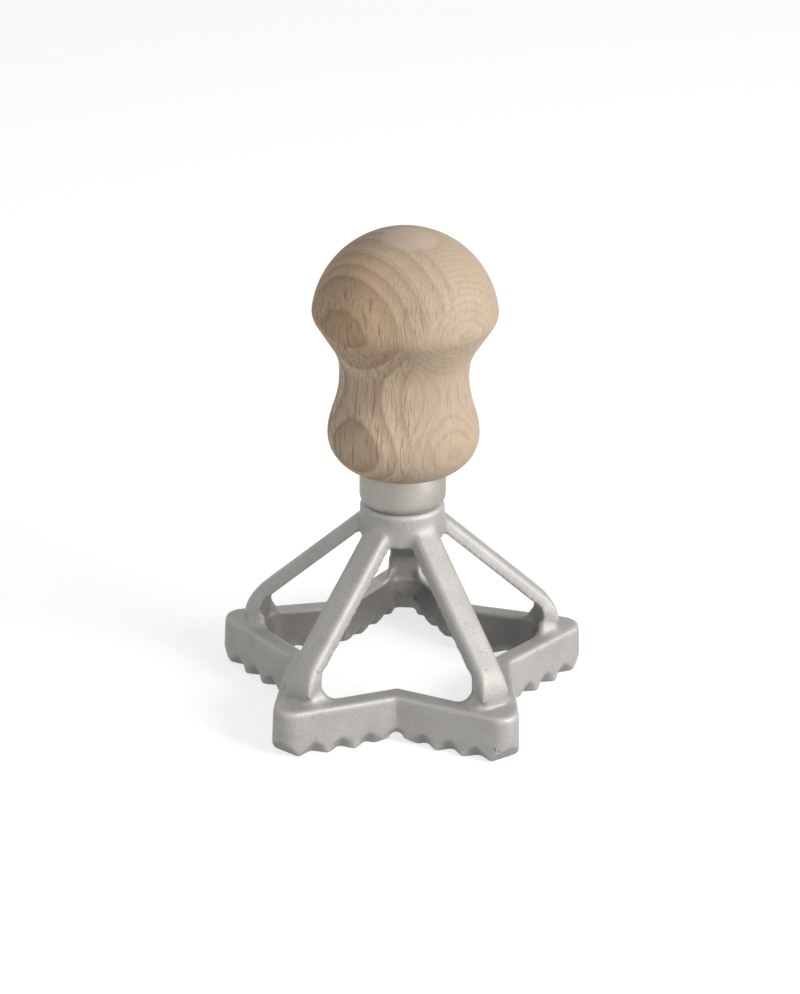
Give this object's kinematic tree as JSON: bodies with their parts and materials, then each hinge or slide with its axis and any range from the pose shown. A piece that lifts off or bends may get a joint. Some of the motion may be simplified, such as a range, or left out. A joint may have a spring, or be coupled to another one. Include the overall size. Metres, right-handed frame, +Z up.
{
  "type": "ravioli stamp",
  "caption": "Pasta stamp with a turned wooden knob and metal ferrule on a cast frame, whose arms carry a star-shaped ring with a zigzag cutting edge.",
  "frame": {"origin": "centre of the star in the plane of the cutting edge, on the knob's axis", "axes": "+Z up along the knob's axis, +Y towards one point of the star, +X to the right of it"},
  "size_m": [0.0742, 0.0709, 0.0989],
  "materials": {
    "cast_metal": "blasted casting, satin",
    "ferrule_metal": "satin",
    "handle_wood": "raw sanded beech",
    "screw_steel": "plated steel"
  },
  "bodies": {
    "root": {"cutter_frame": "cast_metal", "ferrule": "ferrule_metal", "handle": "handle_wood", "handle_screw": "screw_steel"}
  },
  "joints": []
}
